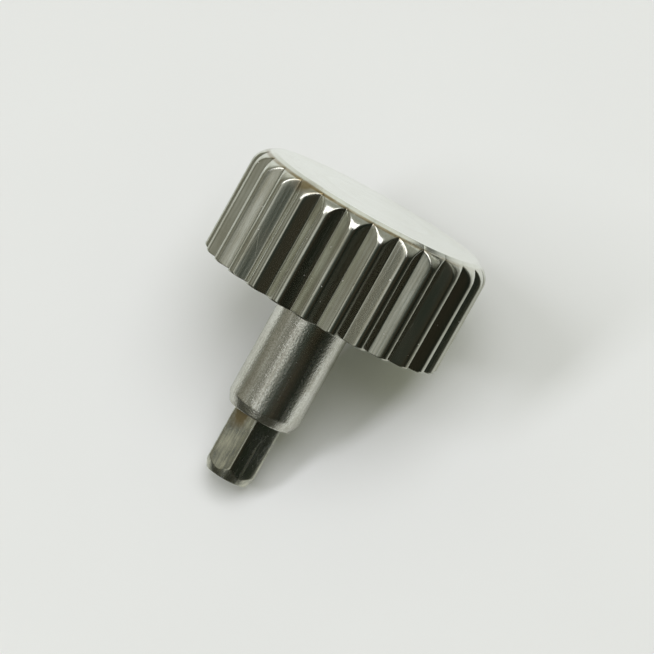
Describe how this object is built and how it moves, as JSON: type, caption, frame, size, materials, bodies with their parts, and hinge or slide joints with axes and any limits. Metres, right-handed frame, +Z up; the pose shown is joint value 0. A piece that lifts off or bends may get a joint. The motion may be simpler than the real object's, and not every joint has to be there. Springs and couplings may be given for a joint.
{
  "type": "screw-down watch crown",
  "caption": "Fluted screw-down watch crown with a smooth pipe and a spring-loaded hexagonal drive post that is tapped for the winding stem.",
  "frame": {"origin": "On the crown's axis, in the plane of the head's underside rim, which is where the pipe leaves the head.", "axes": "+X along the crown's axis towards its plain outer face, so that the pipe and drive post point along -X; +Z up, square to a flat of the hexagonal post; +Y completes the right-handed frame."},
  "size_m": [0.0084, 0.007, 0.007],
  "materials": {
    "polished_steel": "polished",
    "satin_steel": "satin",
    "milled_steel": "satin",
    "spring_steel": "satin",
    "black_rubber": "matte"
  },
  "bodies": {
    "crown": {"crown_head": "polished_steel", "crown_pipe": "satin_steel", "head_gasket": "black_rubber", "gasket_washer": "satin_steel", "return_spring": "spring_steel"},
    "post": {"drive_post": "milled_steel"}
  },
  "joints": [
    {"name": "post_slide", "type": "slide", "parent": "crown", "child": "post", "axis": [1, 0, 0], "range_m": [0, 0.0012], "stiffness_N_per_m": 1000, "deforming": ["return_spring"]}
  ]
}
